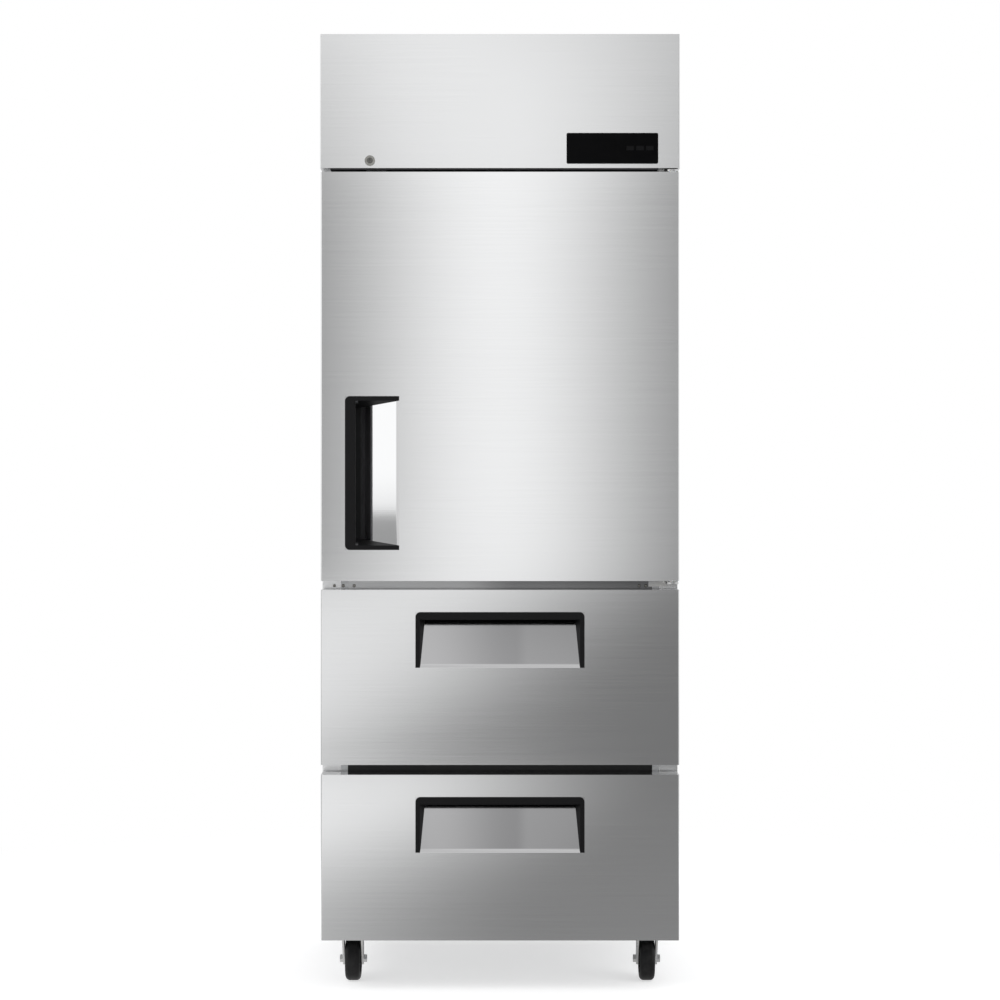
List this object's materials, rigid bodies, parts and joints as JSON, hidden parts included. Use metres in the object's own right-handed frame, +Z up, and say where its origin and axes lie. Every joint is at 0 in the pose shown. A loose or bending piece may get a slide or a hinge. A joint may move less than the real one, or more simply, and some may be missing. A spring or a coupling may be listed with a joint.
{
  "type": "reach-in freezer",
  "caption": "Upright commercial freezer on casters: a steel cabinet with a hinged half door over sliding drawers and a condensing unit on top behind a plain header.",
  "frame": {"origin": "on the floor, in the middle of the cabinet's width and depth", "axes": "+Z up, fronts of the door and drawers face -Y, +X towards the hinged side of the door"},
  "size_m": [0.73, 0.805, 1.951],
  "materials": {
    "stainless": "fine horizontal grain",
    "galvanised": "dull zinc",
    "foam": "rigid foam",
    "liner": "satin",
    "frame_plastic": "satin grey",
    "inner_panel": "satin",
    "gasket": "matt",
    "grip": "satin black",
    "bezel": "gloss black",
    "key": "satin",
    "lock": "polished",
    "hinge": "zinc",
    "bush": "nylon",
    "rail": "bright zinc",
    "tub": "satin",
    "shelf": "epoxy coat",
    "aluminium": "mill finish",
    "black_enamel": "gloss enamel",
    "copper": "bare copper",
    "gland": "satin",
    "caster_steel": "bright zinc",
    "wheel": "satin"
  },
  "bodies": {
    "cabinet": {"side_panels": "stainless", "base_pan": "galvanised", "back_panel": "galvanised", "machine_deck": "galvanised", "cabinet_foam": "foam", "cabinet_liner": "liner", "face_frame": "frame_plastic", "mullions": "frame_plastic", "header_panel": "stainless", "controller_bezel": "bezel", "lock_body": "lock", "hinge_brackets": "hinge", "outer_rails": "rail", "shelf_supports": "rail", "wire_shelves": "shelf", "evaporator_cover": "aluminium", "evaporator_coil": "aluminium", "condenser_coil": "aluminium", "condenser_shroud": "galvanised", "fan_motors": "black_enamel", "compressor": "black_enamel", "refrigerant_lines": "copper", "electrical_box": "galvanised", "rear_guard": "galvanised", "cord_gland": "gland", "caster_plates": "caster_steel"},
    "door": {"door_skin": "stainless", "door_foam": "foam", "door_inner_panel": "inner_panel", "door_gasket": "gasket", "door_grip": "grip", "door_bushes": "bush"},
    "upper_drawer": {"upper_drawer_skin": "stainless", "upper_drawer_foam": "foam", "upper_drawer_inner_panel": "inner_panel", "upper_drawer_gasket": "gasket", "upper_drawer_grip": "grip", "upper_drawer_box": "tub"},
    "upper_drawer_middle": {"upper_drawer_middle_rails": "rail"},
    "lower_drawer": {"lower_drawer_skin": "stainless", "lower_drawer_foam": "foam", "lower_drawer_inner_panel": "inner_panel", "lower_drawer_gasket": "gasket", "lower_drawer_grip": "grip", "lower_drawer_box": "tub"},
    "lower_drawer_middle": {"lower_drawer_middle_rails": "rail"},
    "lock": {"lock_barrel": "lock"},
    "evaporator_blades": {"evaporator_fan": "grip"},
    "condenser_blades": {"condenser_fan": "aluminium"},
    "key_1": {"controller_key_1": "key"},
    "key_2": {"controller_key_2": "key"},
    "key_3": {"controller_key_3": "key"},
    "front_left_swivel": {"front_left_fork": "caster_steel"},
    "front_left_roller": {"front_left_wheel": "wheel"},
    "front_right_swivel": {"front_right_fork": "caster_steel"},
    "front_right_roller": {"front_right_wheel": "wheel"},
    "rear_left_swivel": {"rear_left_fork": "caster_steel"},
    "rear_left_roller": {"rear_left_wheel": "wheel"},
    "rear_right_swivel": {"rear_right_fork": "caster_steel"},
    "rear_right_roller": {"rear_right_wheel": "wheel"}
  },
  "joints": [
    {"name": "door_swing", "type": "hinge", "parent": "cabinet", "child": "door", "pos_m": [0.35, -0.3825, 0.841], "axis": [0, 0, 1], "range_deg": [0, 115]},
    {"name": "upper_drawer_slide", "type": "slide", "parent": "cabinet", "child": "upper_drawer", "axis": [0, -1, 0], "range_m": [0, 0.48]},
    {"name": "upper_drawer_middle_slide", "type": "slide", "parent": "cabinet", "child": "upper_drawer_middle", "axis": [0, -1, 0], "range_m": [0, 0.24]},
    {"name": "lower_drawer_slide", "type": "slide", "parent": "cabinet", "child": "lower_drawer", "axis": [0, -1, 0], "range_m": [0, 0.48]},
    {"name": "lower_drawer_middle_slide", "type": "slide", "parent": "cabinet", "child": "lower_drawer_middle", "axis": [0, -1, 0], "range_m": [0, 0.24]},
    {"name": "lock_turn", "type": "hinge", "parent": "cabinet", "child": "lock", "pos_m": [-0.264, -0.3995, 1.694], "axis": [0, 1, 0], "range_deg": [0, 90]},
    {"name": "evaporator_fan_spin", "type": "hinge", "parent": "cabinet", "child": "evaporator_blades", "pos_m": [0, -0.0753, 1.566], "axis": [0, 1, 0], "continuous": true},
    {"name": "condenser_fan_spin", "type": "hinge", "parent": "cabinet", "child": "condenser_blades", "pos_m": [-0.143, -0.2313, 1.7932], "axis": [0, 1, 0], "continuous": true},
    {"name": "key_1_press", "type": "slide", "parent": "cabinet", "child": "key_1", "axis": [0, 1, 0], "range_m": [0, 0.001], "stiffness_N_per_m": 400},
    {"name": "key_2_press", "type": "slide", "parent": "cabinet", "child": "key_2", "axis": [0, 1, 0], "range_m": [0, 0.001], "stiffness_N_per_m": 400},
    {"name": "key_3_press", "type": "slide", "parent": "cabinet", "child": "key_3", "axis": [0, 1, 0], "range_m": [0, 0.001], "stiffness_N_per_m": 400},
    {"name": "front_left_swivel_turn", "type": "hinge", "parent": "cabinet", "child": "front_left_swivel", "pos_m": [-0.307, -0.2625, 0.125], "axis": [0, 0, 1], "continuous": true},
    {"name": "front_left_wheel_spin", "type": "hinge", "parent": "front_left_swivel", "child": "front_left_roller", "pos_m": [-0.307, -0.2345, 0.045], "axis": [1, 0, 0], "continuous": true},
    {"name": "front_right_swivel_turn", "type": "hinge", "parent": "cabinet", "child": "front_right_swivel", "pos_m": [0.307, -0.2625, 0.125], "axis": [0, 0, 1], "continuous": true},
    {"name": "front_right_wheel_spin", "type": "hinge", "parent": "front_right_swivel", "child": "front_right_roller", "pos_m": [0.307, -0.2345, 0.045], "axis": [1, 0, 0], "continuous": true},
    {"name": "rear_left_swivel_turn", "type": "hinge", "parent": "cabinet", "child": "rear_left_swivel", "pos_m": [-0.307, 0.3105, 0.125], "axis": [0, 0, 1], "continuous": true},
    {"name": "rear_left_wheel_spin", "type": "hinge", "parent": "rear_left_swivel", "child": "rear_left_roller", "pos_m": [-0.307, 0.3385, 0.045], "axis": [1, 0, 0], "continuous": true},
    {"name": "rear_right_swivel_turn", "type": "hinge", "parent": "cabinet", "child": "rear_right_swivel", "pos_m": [0.307, 0.3105, 0.125], "axis": [0, 0, 1], "continuous": true},
    {"name": "rear_right_wheel_spin", "type": "hinge", "parent": "rear_right_swivel", "child": "rear_right_roller", "pos_m": [0.307, 0.3385, 0.045], "axis": [1, 0, 0], "continuous": true}
  ],
  "couplings": [
    {"joint": "upper_drawer_middle_slide", "follows": "upper_drawer_slide", "ratio": 0.5},
    {"joint": "lower_drawer_middle_slide", "follows": "lower_drawer_slide", "ratio": 0.5}
  ]
}
